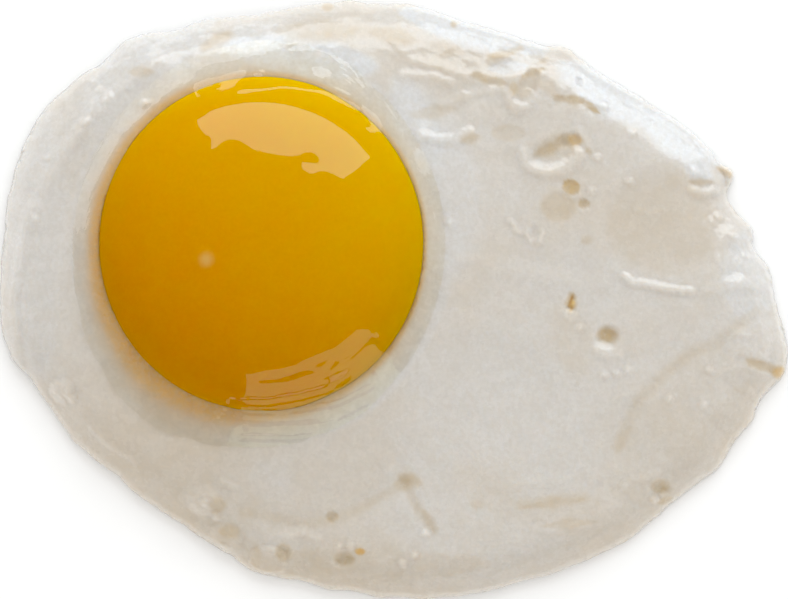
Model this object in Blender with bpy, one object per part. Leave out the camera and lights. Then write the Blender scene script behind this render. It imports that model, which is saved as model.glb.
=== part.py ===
"""Fried egg, served with the yolk up: one set white and one whole yolk.

Lengths are in metres with +Z up.  The origin is at the middle of the footprint, on the surface
that the egg lies on, and +X runs along the egg's length.  The white is a ring of sections
around the yolk: each section starts under the yolk, climbs the wall of the yolk's seat, runs
out over the white and ends round the frilly edge.
"""
import bpy
import bmesh
import math
import numpy as np

MM = 0.001

# The whole egg
LENGTH = 100.0 * MM
WIDTH = 76.0 * MM

# The yolk: a flattened dome over a shallow bowl with a flat middle
YOLK_X, YOLK_Y = -16.7 * MM, 7.0 * MM
YOLK_RADIUS_X, YOLK_RADIUS_Y = 20.9 * MM, 21.2 * MM
YOLK_GIRTH_Z = 6.8 * MM
YOLK_DOME = 10.0 * MM
YOLK_BOTTOM_Z = 1.4 * MM
YOLK_FLAT = 0.66
YOLK_SIDES = 56
DOME_RINGS = 10
BOWL_RINGS = 5

# The white
SEAT_GAP = 0.3 * MM
COLLAR_Z = 8.4 * MM
EDGE_Z = 0.6 * MM
LIP_RISE, LIP_WIDTH = 1.2 * MM, 1.5 * MM
SLOPE_RISE, SLOPE_WIDTH = 4.0 * MM, 10.0 * MM
MOUND_RISE, MOUND_WIDTH = 1.4 * MM, 16.0 * MM
MENISCUS_WIDTH = 3.2 * MM
BASE_INSET = 0.8 * MM
WHITE_SIDES = 128
TOP_RINGS = 23
END_CROWDING = 0.45

# The footprint: an oval, leaning a little, before its lobes
OVAL_HALF_LENGTH, OVAL_HALF_WIDTH = 49.75 * MM, 36.8 * MM
OVAL_LEAN = math.radians(-10.7)
OVAL_TAPER = -0.017
OVAL_CENTRE = (-1.05 * MM, 0.58 * MM)
OUTLINE_POINTS = 1440

# Lobes and dents of the edge: (bearing from the middle in degrees, half width, push), in mm
EDGE_LOBES = (
    (358, 4, 0.3), (3, 5, 0.5), (8, 3, -0.7), (16, 4.5, -1.0), (20.5, 2.5, 1.4), (27, 8, 1.0),
    (45, 7, -0.5), (55.5, 3, 0.6), (68, 14, -0.8), (77, 5, -0.3), (96, 8, -0.5), (98, 2.5, 0.4),
    (114, 10, -1.0), (123, 5, 0.3), (135.5, 6, 1.6), (143, 5, 0.5), (151, 12, 1.3),
    (172, 10, -0.8), (187, 7, 0.6), (192, 3, -0.4), (197, 7, -0.8), (208, 9, -0.7),
    (212.5, 2.5, -0.4), (221, 11, -0.8), (240, 6, 0.5), (246, 7, 1.1), (257, 5, 1.0),
    (265, 4, 0.5), (272, 9, 0.9), (284, 8, 0.6), (309, 10, -0.6), (317, 5, -0.4),
    (324, 8, -1.6), (332, 6, -0.7), (338, 4, -0.8), (345, 3, -0.6), (351.5, 8, 2.0),
)

# Swellings and hollows of the top: (x, y, half width, rise), in mm
TOP_MARKS = (
    (18.5, 18.2, 3.6, -1.3), (21.8, 19.6, 3.4, -1.2), (20.0, 13.8, 3.0, 0.5),
    (20.7, 11.8, 2.6, -0.5), (26.9, -4.7, 2.9, -1.3), (26.9, -8.0, 3.0, 0.4),
    (13.0, 28.6, 3.4, -0.9), (16.5, 27.0, 3.0, -0.8), (14.2, 31.6, 3.4, 0.6),
    (33.5, 9.5, 9.0, -0.7), (38.8, 14.6, 2.8, -0.8), (33.3, -23.6, 3.0, -0.8),
    (30.0, -14.0, 12.0, 0.5), (12.0, -16.0, 14.0, 0.4), (8.0, 17.0, 9.0, 0.6),
    (-8.0, -28.5, 6.0, -0.6), (-6.3, -32.6, 2.6, -0.8), (-14.0, -31.8, 2.6, -0.6),
    (-10.0, -30.6, 3.4, 0.7), (-22.5, -26.5, 3.0, 0.7), (-42.5, -11.8, 2.6, 0.7),
    (1.5, -24.0, 3.4, -0.5), (-33.0, -10.5, 6.0, -0.7), (-30.0, 27.5, 5.0, 0.5),
    (45.5, -8.2, 3.0, -0.7), (43.0, 2.0, 4.0, 0.5),
)

# Long ridges and creases: (x, y) of the start, (x, y) of the end, half width, rise, in mm
TOP_RIDGES = (
    ((8.0, 5.5), (17.0, 3.6), 2.6, 0.5), ((17.0, 3.6), (26.0, 1.9), 2.6, 0.6),
    ((27.0, 2.4), (38.0, 1.2), 2.6, 0.9), ((29.0, -19.0), (34.0, -8.0), 2.8, -0.5),
    ((34.0, -8.0), (43.0, -4.5), 2.6, -0.4), ((1.5, -23.0), (5.0, -28.5), 2.4, -0.5),
    ((4.0, 21.0), (9.5, 21.5), 2.4, 0.6), ((20.5, 25.2), (25.5, 23.8), 2.4, -0.6),
)

# Looks of the two pieces
WHITE_COLOUR = (0.72, 0.68, 0.60)
YOLK_COLOUR = (0.74, 0.30, 0.012)


def smooth_fall(closeness):
    """1 at the middle, 0 at the edge, level at both."""
    return 3 * closeness ** 2 - 2 * closeness ** 3


def round_fall(closeness):
    """A quarter of a circle: steep at the edge, level at the top."""
    return np.sqrt(2 * closeness - closeness ** 2)


def eased_fall(closeness):
    """Sloping at the edge, level at the top."""
    return 2 * closeness - closeness ** 2


def closeness(distance, reach):
    return np.clip(1 - distance / reach, 0, 1)


def clear_scene():
    for old in list(bpy.data.objects):
        bpy.data.objects.remove(old, do_unlink=True)


def footprint():
    """The egg's outline seen from above, as a closed loop of points around the middle."""
    turn = np.linspace(0, 2 * math.pi, OUTLINE_POINTS, endpoint=False)
    along = OVAL_HALF_LENGTH * np.cos(turn)
    across = OVAL_HALF_WIDTH * np.sin(turn) * (1 + OVAL_TAPER * np.cos(turn))
    x = OVAL_CENTRE[0] + along * math.cos(OVAL_LEAN) - across * math.sin(OVAL_LEAN)
    y = OVAL_CENTRE[1] + along * math.sin(OVAL_LEAN) + across * math.cos(OVAL_LEAN)
    points = np.column_stack((x, y))
    for bearing, half_width, push in EDGE_LOBES:
        outward = np.array((math.cos(math.radians(bearing)), math.sin(math.radians(bearing))))
        facing = points @ outward / np.linalg.norm(points, axis=1)
        distance = np.linalg.norm(points - points[facing.argmax()], axis=1)
        shift = smooth_fall(closeness(distance, half_width * MM))
        points = points + shift[:, None] * outward * push * MM
    low, high = points.min(axis=0), points.max(axis=0)
    return (points - (low + high) / 2) * np.array((LENGTH, WIDTH)) / (high - low)


def distance_to_segment(points, start, end):
    start, end = np.array(start), np.array(end)
    span = end - start
    place = np.clip((points - start) @ span / (span @ span), 0, 1)
    return np.linalg.norm(points - start - place[..., None] * span, axis=-1)


def relief(points):
    """Height of the swellings, hollows, ridges and creases at points in the plane."""
    height = np.zeros(points.shape[:-1])
    for x, y, half_width, rise in TOP_MARKS:
        distance = np.linalg.norm(points - np.array((x, y)) * MM, axis=-1)
        height += rise * MM * smooth_fall(closeness(distance, half_width * MM))
    for start, end, half_width, rise in TOP_RIDGES:
        distance = distance_to_segment(points, np.array(start) * MM, np.array(end) * MM)
        height += rise * MM * smooth_fall(closeness(distance, half_width * MM))
    return height


def top_height(points, outline, from_yolk):
    """Height of the white's upper face: a lip, a slope, a mound at the yolk, and the relief."""
    from_edge = np.linalg.norm(points[..., None, :] - outline, axis=-1).min(axis=-1)
    lip = LIP_RISE * round_fall(1 - closeness(from_edge, LIP_WIDTH))
    slope = SLOPE_RISE * eased_fall(1 - closeness(from_edge, SLOPE_WIDTH))
    mound = MOUND_RISE * smooth_fall(closeness(from_yolk, MOUND_WIDTH))
    climb = COLLAR_Z - EDGE_Z - LIP_RISE - SLOPE_RISE - MOUND_RISE
    meniscus = climb * closeness(from_yolk, MENISCUS_WIDTH) ** 2
    settled = 1 - closeness(from_edge, LIP_WIDTH)
    return EDGE_Z + lip + slope + mound + meniscus + relief(points) * settled


def yolk_profile(gap=0.0):
    """(share of the girth, height) down the yolk's lower half, from its girth to its flat."""
    bend = np.linspace(0, math.pi / 2, BOWL_RINGS + 1)
    share = YOLK_FLAT + (1 - YOLK_FLAT) * np.cos(bend)
    height = YOLK_GIRTH_Z - (YOLK_GIRTH_Z - YOLK_BOTTOM_Z + gap) * np.sin(bend)
    return list(zip(share, height))


def girth_point(angle, share, gap=0.0):
    x = YOLK_X + (YOLK_RADIUS_X * share + gap) * math.cos(angle)
    y = YOLK_Y + (YOLK_RADIUS_Y * share + gap) * math.sin(angle)
    return x, y


def ring(bm, points):
    return [bm.verts.new(point) for point in points]


def bridge(bm, inner, outer):
    """A band of quads between two rings of the same count."""
    count = len(inner)
    for i in range(count):
        j = (i + 1) % count
        bm.faces.new((inner[i], outer[i], outer[j], inner[j]))


def shade(obj, sharp_angle):
    obj.data.shade_smooth()
    obj.data.set_sharp_from_angle(angle=sharp_angle)


def make_object(name, bm, material):
    bmesh.ops.triangulate(bm, faces=bm.faces[:])
    bmesh.ops.recalc_face_normals(bm, faces=bm.faces[:])
    mesh = bpy.data.meshes.new(name)
    bm.to_mesh(mesh)
    bm.free()
    obj = bpy.data.objects.new(name, mesh)
    bpy.context.scene.collection.objects.link(obj)
    mesh.materials.append(material)
    shade(obj, math.radians(50))
    return obj


def egg_material(name, colour, roughness, scatter):
    material = bpy.data.materials.new(name)
    material.use_nodes = True
    shader = material.node_tree.nodes["Principled BSDF"]
    shader.inputs["Base Color"].default_value = (*colour, 1)
    shader.inputs["Roughness"].default_value = roughness
    shader.inputs["Metallic"].default_value = 0.0
    shader.inputs["Subsurface Weight"].default_value = scatter
    return material


def yolk():
    """A closed dome and bowl that meet at the girth."""
    bm = bmesh.new()
    angles = [2 * math.pi * i / YOLK_SIDES for i in range(YOLK_SIDES)]
    crown = bm.verts.new((YOLK_X, YOLK_Y, YOLK_GIRTH_Z + YOLK_DOME))
    rings = []
    for step in range(1, DOME_RINGS):
        climb = math.pi / 2 * (1 - step / DOME_RINGS)
        height = YOLK_GIRTH_Z + YOLK_DOME * math.sin(climb)
        rings.append(ring(bm, [(*girth_point(a, math.cos(climb)), height) for a in angles]))
    for share, height in yolk_profile():
        rings.append(ring(bm, [(*girth_point(a, share), height) for a in angles]))
    for i in range(YOLK_SIDES):
        bm.faces.new((crown, rings[0][i], rings[0][(i + 1) % YOLK_SIDES]))
    for inner, outer in zip(rings, rings[1:]):
        bridge(bm, inner, outer)
    bm.faces.new(rings[-1])
    return make_object("yolk", bm, egg_material("yolk", YOLK_COLOUR, 0.15, 0.3))


def ray_to_outline(outline, angles):
    """Where rays from the yolk's middle meet the outline, one point for each angle."""
    away = outline - np.array((YOLK_X, YOLK_Y))
    bearing = np.unwrap(np.arctan2(away[:, 1], away[:, 0]))
    reach = np.linalg.norm(away, axis=1)
    return np.interp(angles, bearing, reach, period=2 * math.pi)


def white():
    """Seat, top and edge as rings around the yolk, closed by a flat base."""
    bm = bmesh.new()
    outline = footprint()
    angles = np.linspace(0, 2 * math.pi, WHITE_SIDES, endpoint=False)
    seat = yolk_profile(SEAT_GAP)[::-1]
    rings = [ring(bm, [(*girth_point(a, share, SEAT_GAP), height) for a in angles])
             for share, height in seat]
    bm.faces.new(rings[0])

    start = np.array([girth_point(a, 1, 1.2 * SEAT_GAP) for a in angles])
    toward = np.column_stack((np.cos(angles), np.sin(angles)))
    finish = np.array((YOLK_X, YOLK_Y)) + toward * ray_to_outline(outline, angles)[:, None]
    for step in range(TOP_RINGS):
        turn = 2 * math.pi * step / TOP_RINGS
        share = (turn - END_CROWDING * math.sin(turn)) / (2 * math.pi)
        place = start + (finish - start) * share
        from_yolk = np.linalg.norm(place - start, axis=1)
        height = top_height(place, outline, from_yolk)
        rings.append(ring(bm, np.column_stack((place, height))))
    rings.append(ring(bm, np.column_stack((finish, np.full(WHITE_SIDES, EDGE_Z)))))
    foot = finish - toward * BASE_INSET
    rings.append(ring(bm, np.column_stack((foot, np.zeros(WHITE_SIDES)))))
    for inner, outer in zip(rings, rings[1:]):
        bridge(bm, inner, outer)
    bm.faces.new(rings[-1])
    return make_object("white", bm, egg_material("egg_white", WHITE_COLOUR, 0.35, 0.2))


clear_scene()
white()
yolk()
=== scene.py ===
"""Looks of a fried egg served yolk up: the set white, the yolk, and the clear white over it.

Lengths are metres with +Z up.  Tables of marks are in millimetres seen from above, with +X to
the right and +Y away.  Every piece is modelled as by hand: a primitive is shaped in edit mode
by pulling points with a soft reach, so each mark of the egg is a pull listed in a table.
"""
import math

import bmesh
import bpy
import numpy as np
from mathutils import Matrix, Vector, kdtree


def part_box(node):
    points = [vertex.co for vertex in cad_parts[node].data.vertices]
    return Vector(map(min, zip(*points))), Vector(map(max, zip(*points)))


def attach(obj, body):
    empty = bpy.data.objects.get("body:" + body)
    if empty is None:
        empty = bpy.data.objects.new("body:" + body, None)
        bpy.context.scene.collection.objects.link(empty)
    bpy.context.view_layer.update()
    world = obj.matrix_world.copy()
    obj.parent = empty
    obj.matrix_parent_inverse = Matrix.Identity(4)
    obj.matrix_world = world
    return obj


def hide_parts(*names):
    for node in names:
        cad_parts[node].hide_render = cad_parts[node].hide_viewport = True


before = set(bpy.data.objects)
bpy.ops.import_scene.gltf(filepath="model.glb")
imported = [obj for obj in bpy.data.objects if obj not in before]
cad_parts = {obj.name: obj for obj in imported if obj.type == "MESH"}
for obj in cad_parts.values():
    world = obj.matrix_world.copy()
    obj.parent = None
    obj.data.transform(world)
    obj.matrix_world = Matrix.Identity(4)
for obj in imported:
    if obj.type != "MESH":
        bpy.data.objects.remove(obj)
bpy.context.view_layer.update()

bl_info = {
    "name": "Fried egg",
    "version": (1, 0, 0),
    "blender": (4, 5, 0),
    "location": "View3D > Sidebar > Egg",
    "description": "Builds a fried egg with a wet white, a whole yolk and clear white over it",
    "category": "Add Mesh",
}

MM = 0.001

WHITE_LOW, WHITE_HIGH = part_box("white")
YOLK_LOW, YOLK_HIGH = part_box("yolk")
YOLK_MIDDLE = (YOLK_LOW + YOLK_HIGH) / 2
# The yolk is slimmer than its CAD piece, since the clear white magnifies it
SLIM_X, SLIM_Y = 0.958, 0.975
YOLK_RADII = (YOLK_HIGH - YOLK_LOW) / 2
YOLK_RADII.x *= SLIM_X
YOLK_RADII.y *= SLIM_Y

# The footprint before its lobes: an oval, leaning a little (mm and degrees)
OVAL = {"half_length": 49.75, "half_width": 36.8, "lean": -10.7, "x": -1.05, "y": 0.58}
EDGE_POINTS = 1240
EDGE_SPAN = 362
GIRTH = 6.8 * MM

# The yolk's mesh, how much its bowl is deepened before its foot is flattened, the direction
# of its painted light (the lit side, with painted shade opposite), and its germ spot (mm)
YOLK_SEGMENTS, YOLK_RINGS = 192, 128
BOWL_DEEPENING = 1.35
SHADE_TOWARDS = (0.62, 0.78)
GERM_PLACE = (-23.4, 5.0)

# The seat: the flat it starts from, its floor, and how far its wall goes under the yolk's girth
SEAT_FLAT = 14 * MM
SEAT_FLOOR = 1.0 * MM
SEAT_OVERLAP = 0.25 * MM

# Rings of the clear film, counted down from its top
FILM_RINGS = 160
LEAVE_RING = 53
RIM_RING = 105
FILM_SEGMENTS = 384

# Lobes and dents of the edge: bearing from the middle (degrees), reach and push (mm)
EDGE_LOBES = (
    (358, 4, 0.3), (3, 5, 0.5), (8, 3, -0.7), (16, 4.5, -1.0), (20.5, 2.5, 1.4), (27, 8, 1.0),
    (45, 7, -0.5), (55.5, 3, 0.6), (68, 14, -0.8), (77, 5, -0.3), (96, 8, -0.5), (98, 2.5, 0.4),
    (114, 10, -1.0), (123, 5, 0.3), (135.5, 6, 1.6), (143, 5, 0.5), (151, 12, 1.3),
    (172, 10, -0.8), (187, 7, 0.6), (192, 3, -0.4), (197, 7, -0.8), (208, 9, -0.7),
    (212.5, 2.5, -0.4), (221, 11, -0.8), (240, 6, 0.5), (246, 7, 1.1), (257, 5, 1.0),
    (265, 4, 0.5), (272, 9, 0.9), (284, 8, 0.6), (309, 10, -0.6), (317, 5, -0.4),
    (324, 8, -1.6), (332, 6, -0.7), (338, 4, -0.8), (345, 3, -0.6), (351.5, 8, 2.0),
)

# Pits and swellings of the white: place, half sizes, lean (degrees), rise, reach, and the
# fall-off where it isn't smooth
HOLLOWS = (
    ((19.8, 18.6), (1.7, 0.5), 20, -0.4, 1.9),     # the big crater
    ((22.1, 20.2), (0.9, 0.4), 0, -0.25, 1.1),
    ((22.3, 14.3), (0.9, 0.6), -20, -0.14, 0.5),   # two round pits below it
    ((23.9, 12.1), (0.5, 0.4), 0, -0.14, 0.6),
    ((20.7, 11.8), (1.7, 1.5), 0, -0.08, 0.9),
    ((22.2, -0.4), (0.3, 1.1), -8, -0.4, 0.7, "SHARP"),      # the slit
    ((26.9, -4.6), (0.5, 0.4), 0, -0.55, 1.7),     # the deep round pit
    ((16.8, 26.9), (0.6, 1.9), -35, -0.3, 1.2),    # the long pit at the back
    ((13.8, 29.3), (1.6, 0.6), 10, -0.25, 1.3),
    ((23.4, 27.5), (0.3, 0.3), 0, -0.2, 0.5),
    ((14.5, 21.0), (1.6, 0.6), 0, -0.06, 0.7),
    ((-6.3, -32.7), (0.6, 0.4), 0, -0.4, 1.2),     # the dark pit near the front
    ((-14.0, -31.9), (0.4, 0.4), 0, -0.25, 1.0),
    ((33.6, -24.0), (0.8, 0.5), 20, -0.3, 1.2),
    ((38.8, 14.7), (1.2, 0.3), 0, -0.22, 1.0),
    ((33.8, 9.5), (5.0, 4.5), -10, -0.4, 4.0),     # the smooth flat at the right
    ((-42.0, -11.5), (0.8, 0.6), 30, 0.45, 1.4),
    ((-24.0, -25.4), (1.0, 0.8), 0, 0.4, 1.8),
    ((-21.2, -30.2), (1.2, 0.8), -20, 0.35, 1.5),
    ((-16.0, -33.0), (1.3, 0.9), 0, 0.3, 1.3, "SPHERE"),
    ((-7.8, -27.4), (0.3, 0.3), 0, -0.15, 0.8),
    ((17.5, 8.6), (0.6, 0.5), 0, -0.12, 0.6),
    ((8.5, 24.2), (4.5, 0.5), 8, -0.2, 3.0),       # soft troughs behind and beside the yolk
    ((9.0, 30.2), (4.5, 0.5), -12, -0.15, 2.0),
    ((6.0, 15.5), (1.0, 4.0), -15, -0.2, 4.0),
    ((13.0, 24.5), (3.0, 0.5), 15, 0.25, 2.4),
    ((26.0, -20.0), (4.0, 2.0), 20, -0.25, 6.0),
    ((12.0, -12.0), (6.0, 3.0), -10, -0.2, 7.0),
)

# Ridges (rising) and creases (sinking): the points they pass, half width, rise, reach, fall-off
FOLDS = (
    (((8.0, 5.5), (12.0, 3.9), (17.0, 3.4), (23.0, 2.2), (26.5, 2.1)), 0.25, 0.08, 1.6),
    (((28.8, 3.2), (29.8, 2.1), (32.0, 1.9), (34.5, 1.3), (37.5, 1.0)), 0.15, 0.24, 0.8),
    (((39.5, 1.2), (43.0, 2.2), (46.0, 1.8)), 0.25, 0.17, 1.2),
    (((30.0, -13.5), (34.0, -9.5), (37.0, -7.0), (40.5, -5.5), (46.0, -1.5)), 0.25, -0.11, 1.8, "SHARP"),
    (((28.3, -18.5), (29.0, -15.5), (30.0, -13.5)), 0.25, -0.08, 1.8),
    (((1.3, -23.0), (3.0, -26.5), (5.2, -29.3)), 0.2, -0.12, 1.2),
    (((-19.0, -26.5), (-14.0, -27.6), (-10.0, -28.0), (-7.0, -27.4), (-4.0, -25.8), (1.3, -23.0)),
     0.25, -0.11, 1.8),
    (((-13.5, -29.7), (-11.5, -29.2), (-9.8, -30.2)), 0.2, 0.17, 1.0),
    (((20.5, 25.2), (23.5, 25.0), (25.6, 23.5)), 0.2, -0.11, 0.9),
    (((16.3, 18.4), (17.0, 16.8), (19.3, 15.9), (21.8, 16.5), (23.3, 18.4)), 0.2, 0.26, 1.1),
    (((25.3, -6.2), (26.7, -7.2), (28.4, -6.8)), 0.15, 0.14, 0.9),
    (((21.4, -1.8), (22.0, -2.6), (22.8, -2.0)), 0.15, 0.08, 0.6),
    (((14.6, 25.6), (15.2, 23.6), (16.7, 24.3)), 0.15, 0.15, 0.8),
    (((3.5, 20.7), (5.5, 20.1), (7.5, 20.1), (9.5, 21.1)), 0.2, 0.19, 1.0),
    (((23.2, 21.6), (23.9, 20.6), (24.7, 19.0)), 0.15, 0.14, 0.7),
    (((21.6, 13.0), (22.4, 12.8), (23.3, 13.2)), 0.1, 0.08, 0.5),
    (((23.4, 11.2), (24.0, 11.1), (24.6, 11.6)), 0.1, 0.08, 0.5),
    (((16.6, 8.8), (17.1, 7.6), (18.3, 7.2), (18.8, 8.4)), 0.1, 0.17, 0.6),
    (((14.8, 10.0), (15.2, 9.2), (15.8, 8.4)), 0.12, 0.2, 0.7),
    (((1.0, 28.3), (5.0, 28.1), (7.0, 27.4)), 0.15, 0.14, 0.9),
    (((6.0, 24.6), (9.5, 25.9), (13.5, 26.6)), 0.15, 0.14, 0.9),
    (((2.0, 30.2), (5.5, 29.6), (9.0, 28.4)), 0.15, 0.14, 0.9),
    (((11.5, 28.4), (14.0, 28.2), (16.4, 28.6)), 0.15, 0.14, 0.9),
    (((30.6, 11.4), (32.2, 10.9), (34.0, 11.5)), 0.15, 0.08, 0.8),
    (((37.5, 13.9), (39.0, 13.2), (40.6, 13.8)), 0.15, 0.15, 0.8),
    (((15.0, -23.3), (17.5, -23.0), (22.0, -22.4)), 0.15, 0.08, 1.0),
    (((18.0, -28.8), (20.0, -29.3), (24.0, -28.6)), 0.15, 0.1, 1.0),
    (((29.0, -23.4), (31.0, -22.6), (33.0, -22.0)), 0.15, 0.11, 0.9),
    (((-38.0, -16.2), (-36.0, -18.2), (-33.0, -20.0)), 0.15, 0.11, 0.9),
    (((-21.6, -23.0), (-20.9, -23.3), (-20.2, -23.6)), 0.15, 0.14, 0.7),
    (((42.0, -4.7), (43.2, -4.2), (44.6, -4.4)), 0.15, 0.12, 0.8),
    (((43.5, -7.5), (45.5, -7.9), (47.6, -8.8)), 0.15, -0.17, 1.0),
    (((-36.0, 27.5), (-38.0, 24.0), (-41.5, 19.0)), 0.15, 0.08, 1.2),
    (((-43.0, -12.0), (-44.5, -4.0), (-44.3, 4.0), (-42.3, 12.0), (-38.5, 19.0), (-33.0, 25.0),
      (-27.0, 29.0)), 0.3, -0.22, 2.4),
    (((-47.5, -9.0), (-48.3, 0.0), (-46.5, 9.5), (-42.5, 18.0), (-36.5, 25.5), (-30.0, 30.5)),
     0.2, 0.2, 1.4),
)

# Tiny beads that catch the light
BEADS = (
    (25.0, 13.7), (25.6, 18.0), (29.7, 14.9), (7.0, 9.8), (18.6, 28.7), (26.5, -9.6), (28.2, -9.4),
    (29.6, -8.9), (39.8, -8.9), (34.7, -12.5), (39.0, -13.3), (23.5, -3.5), (4.0, -29.5),
    (2.5, -32.3), (1.0, -33.3), (-24.0, -25.6), (-22.5, -27.3), (-21.5, -31.3), (-14.2, -34.2),
    (-7.0, -31.3), (-5.5, -31.0), (-40.7, -12.5), (-38.0, 27.7), (-37.3, 26.5), (-39.0, 22.4),
    (-43.8, 18.0), (-45.3, 10.2), (-31.5, 24.5), (38.0, 16.2), (34.0, -24.6), (33.0, -25.2),
    (43.0, 8.0), (41.0, 10.5), (44.5, 5.5), (30.0, 21.0), (26.5, 24.5),
)

# The basin that the clear white fills at the front left of the yolk, as round hollows
BASIN = (
    ((-37.2, -4.5), 4.0, -0.35), ((-33.6, -10.0), 5.0, -0.45), ((-28.8, -13.8), 5.0, -0.5),
    ((-22.5, -15.6), 4.5, -0.3),
)

# Stains, and two broad entries of painted shade at the front: place, half sizes, lean (degrees), strength,
# softness (mm)
TAN_STAINS = (
    ((9.0, 29.8), (5.5, 1.3), -12, 0.2, 2.0), ((12.0, 27.8), (2.2, 0.4), -15, 0.4, 0.8),
    ((6.5, 31.8), (1.8, 0.4), -15, 0.3, 1.0), ((13.6, 31.0), (1.4, 0.2), 8, 0.6, 0.7),
    ((17.6, 28.7), (1.4, 0.2), 20, 0.8, 0.6), ((15.1, 26.6), (0.3, 0.5), 0, 0.9, 0.6),
    ((17.0, 27.2), (0.8, 1.6), -35, 0.45, 0.8), ((18.9, 30.2), (0.7, 0.1), 30, 0.5, 0.6),
    ((22.6, 25.2), (2.2, 0.2), -12, 0.75, 0.8), ((25.2, 23.9), (0.7, 0.1), -28, 1.0, 0.4),
    ((14.4, 21.0), (2.0, 0.9), 0, 0.3, 0.35), ((20.6, 26.5), (2.0, 0.6), -20, 0.3, 1.2),
    ((9.5, 20.3), (0.9, 0.3), 15, 0.6, 0.8), ((5.0, 23.6), (2.6, 0.5), 8, 0.35, 1.0),
    ((22.0, 20.0), (1.3, 0.5), 0, 1.0, 0.8), ((19.3, 18.9), (1.5, 0.4), 22, 0.9, 0.8),
    ((20.8, 19.4), (2.6, 1.2), 15, 0.2, 0.8), ((24.5, 18.8), (0.3, 0.2), -40, 0.6, 0.4),
    ((22.3, 14.2), (1.05, 0.85), -20, 1.0, 0.25), ((23.9, 12.1), (0.65, 0.5), 0, 0.95, 0.25),
    ((20.7, 11.7), (1.8, 1.5), 0, 0.5, 0.8), ((24.2, 7.5), (0.4, 0.3), 0, 0.5, 0.6),
    ((26.9, -4.5), (0.9, 0.6), 0, 1.0, 0.9), ((22.3, -0.4), (0.55, 1.25), -8, 0.9, 0.35),
    ((34.0, 9.5), (6.0, 5.5), -10, 0.2, 2.0), ((38.7, 14.9), (1.4, 0.2), 0, 0.8, 0.5),
    ((27.5, 12.0), (3.0, 5.0), 0, 0.08, 4.0), ((46.5, -8.4), (2.0, 0.3), -22, 0.8, 0.6),
    ((48.9, -9.3), (0.8, 0.5), -10, 1.0, 0.7), ((33.6, -23.6), (0.8, 0.5), 0, 0.9, 0.8),
    ((34.3, -25.4), (0.7, 0.2), 20, 1.0, 0.6), ((2.0, -22.7), (1.2, 0.4), -20, 0.6, 0.9),
    ((4.3, -27.8), (0.2, 1.2), 25, 0.4, 0.9), ((1.2, -23.3), (0.8, 0.5), 0, 0.5, 0.8),
    ((-7.8, -27.4), (0.5, 0.4), 0, 0.9, 0.5), ((-6.3, -32.7), (0.9, 0.5), 0, 1.0, 0.8),
    ((-4.3, -31.8), (0.4, 0.2), 0, 1.0, 0.4), ((-14.0, -31.9), (0.6, 0.7), 0, 0.9, 0.8),
    ((-17.5, -32.5), (0.4, 1.2), 0, 0.5, 0.8), ((-22.3, -26.0), (0.5, 0.6), 0, 0.7, 1.0),
    ((-20.8, -29.3), (0.9, 0.5), 0, 0.8, 0.9), ((-8.4, 37.0), (0.5, 0.3), 0, 0.8, 0.5),
    ((7.5, 34.8), (0.2, 0.2), 0, 0.9, 0.4), ((-10.0, 34.0), (4.5, 0.8), 0, 0.35, 1.5),
    ((-22.5, 32.5), (1.6, 0.5), 20, 0.35, 1.0), ((0.0, 33.2), (2.6, 0.6), -12, 0.4, 1.2),
    ((20.0, -25.7), (4.0, 0.3), 8, 0.35, 1.0), ((22.0, -28.3), (3.0, 0.3), 5, 0.35, 1.0),
    # Painted shade: the last entry on this line and the first on the next, broad and soft, darken the front
    # left and the front edge
    ((10.5, -25.8), (0.6, 0.2), 0, 0.4, 0.8), ((-27.0, -22.0), (8.0, 4.0), -30, 0.24, 7.0),
    ((-4.0, -33.5), (14.0, 1.5), 0, 0.28, 4.0), ((-32.0, 28.7), (1.2, 0.3), 0, 0.5, 0.8),
    ((41.8, 16.2), (0.9, 0.2), -30, 0.8, 0.5), ((43.2, 12.0), (0.2, 1.0), 0, 0.6, 0.5),
    ((39.0, -13.0), (6.0, 5.0), 40, 0.17, 3.5), ((33.0, -19.5), (5.0, 4.0), 35, 0.17, 4.0),
    ((22.5, -5.0), (1.5, 4.0), 15, 0.2, 2.5),
)
# Crinkled stretches, in the same form
LIVELY_PATCHES = (
    ((12.0, 29.0), (12.0, 3.0), -15, 1.0, 4.0), ((43.0, 8.0), (2.5, 9.0), 10, 1.0, 3.0),
    ((44.0, -6.0), (3.0, 6.0), -20, 0.9, 3.0), ((30.0, -24.0), (5.0, 3.0), 30, 0.7, 4.0),
    ((-14.0, -31.0), (12.0, 3.0), -10, 0.8, 3.0), ((-40.0, -12.0), (2.5, 4.0), 20, 0.5, 3.0),
    ((-16.0, 33.0), (10.0, 2.0), 0, 0.7, 2.5),
    ((-33.0, 26.0), (6.0, 7.0), -40, 0.8, 4.0), ((5.0, -34.0), (12.0, 1.5), 5, 0.8, 2.0),
)
# Tan lines: the points they pass, half width, strength, softness (mm)
TAN_LINES = (
    (((46.0, -1.5), (40.5, -5.5), (37.0, -7.0), (34.0, -9.5), (30.5, -13.2), (28.3, -18.5)), 0.2, 0.3, 1.0),
    (((16.0, -26.0), (20.0, -25.4), (24.0, -25.0)), 0.2, 0.3, 0.9),
    (((-19.0, -26.8), (-14.0, -27.8), (-10.0, -28.3), (-7.0, -27.6), (-4.0, -26.1), (1.3, -23.3)),
     0.15, 0.3, 0.9),
    (((1.3, -23.0), (3.0, -26.5), (5.0, -29.0)), 0.2, 0.35, 0.8),
    (((20.5, 25.4), (23.5, 25.2), (25.4, 23.9)), 0.15, 0.7, 0.5),
    (((10.3, 28.4), (12.0, 27.7), (13.5, 27.2)), 0.2, 0.5, 0.6),
    (((12.0, 30.6), (14.5, 31.1), (16.0, 31.8)), 0.15, 0.5, 0.5),
    (((-24.0, 31.6), (-22.5, 32.8), (-21.0, 33.4)), 0.2, 0.4, 0.7),
    (((-13.0, 32.6), (-8.0, 33.4), (-3.0, 33.9), (1.0, 33.2)), 0.3, 0.3, 1.0),
    (((45.0, -7.9), (47.2, -8.5), (49.2, -9.4)), 0.2, 0.8, 0.7),
)

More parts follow.
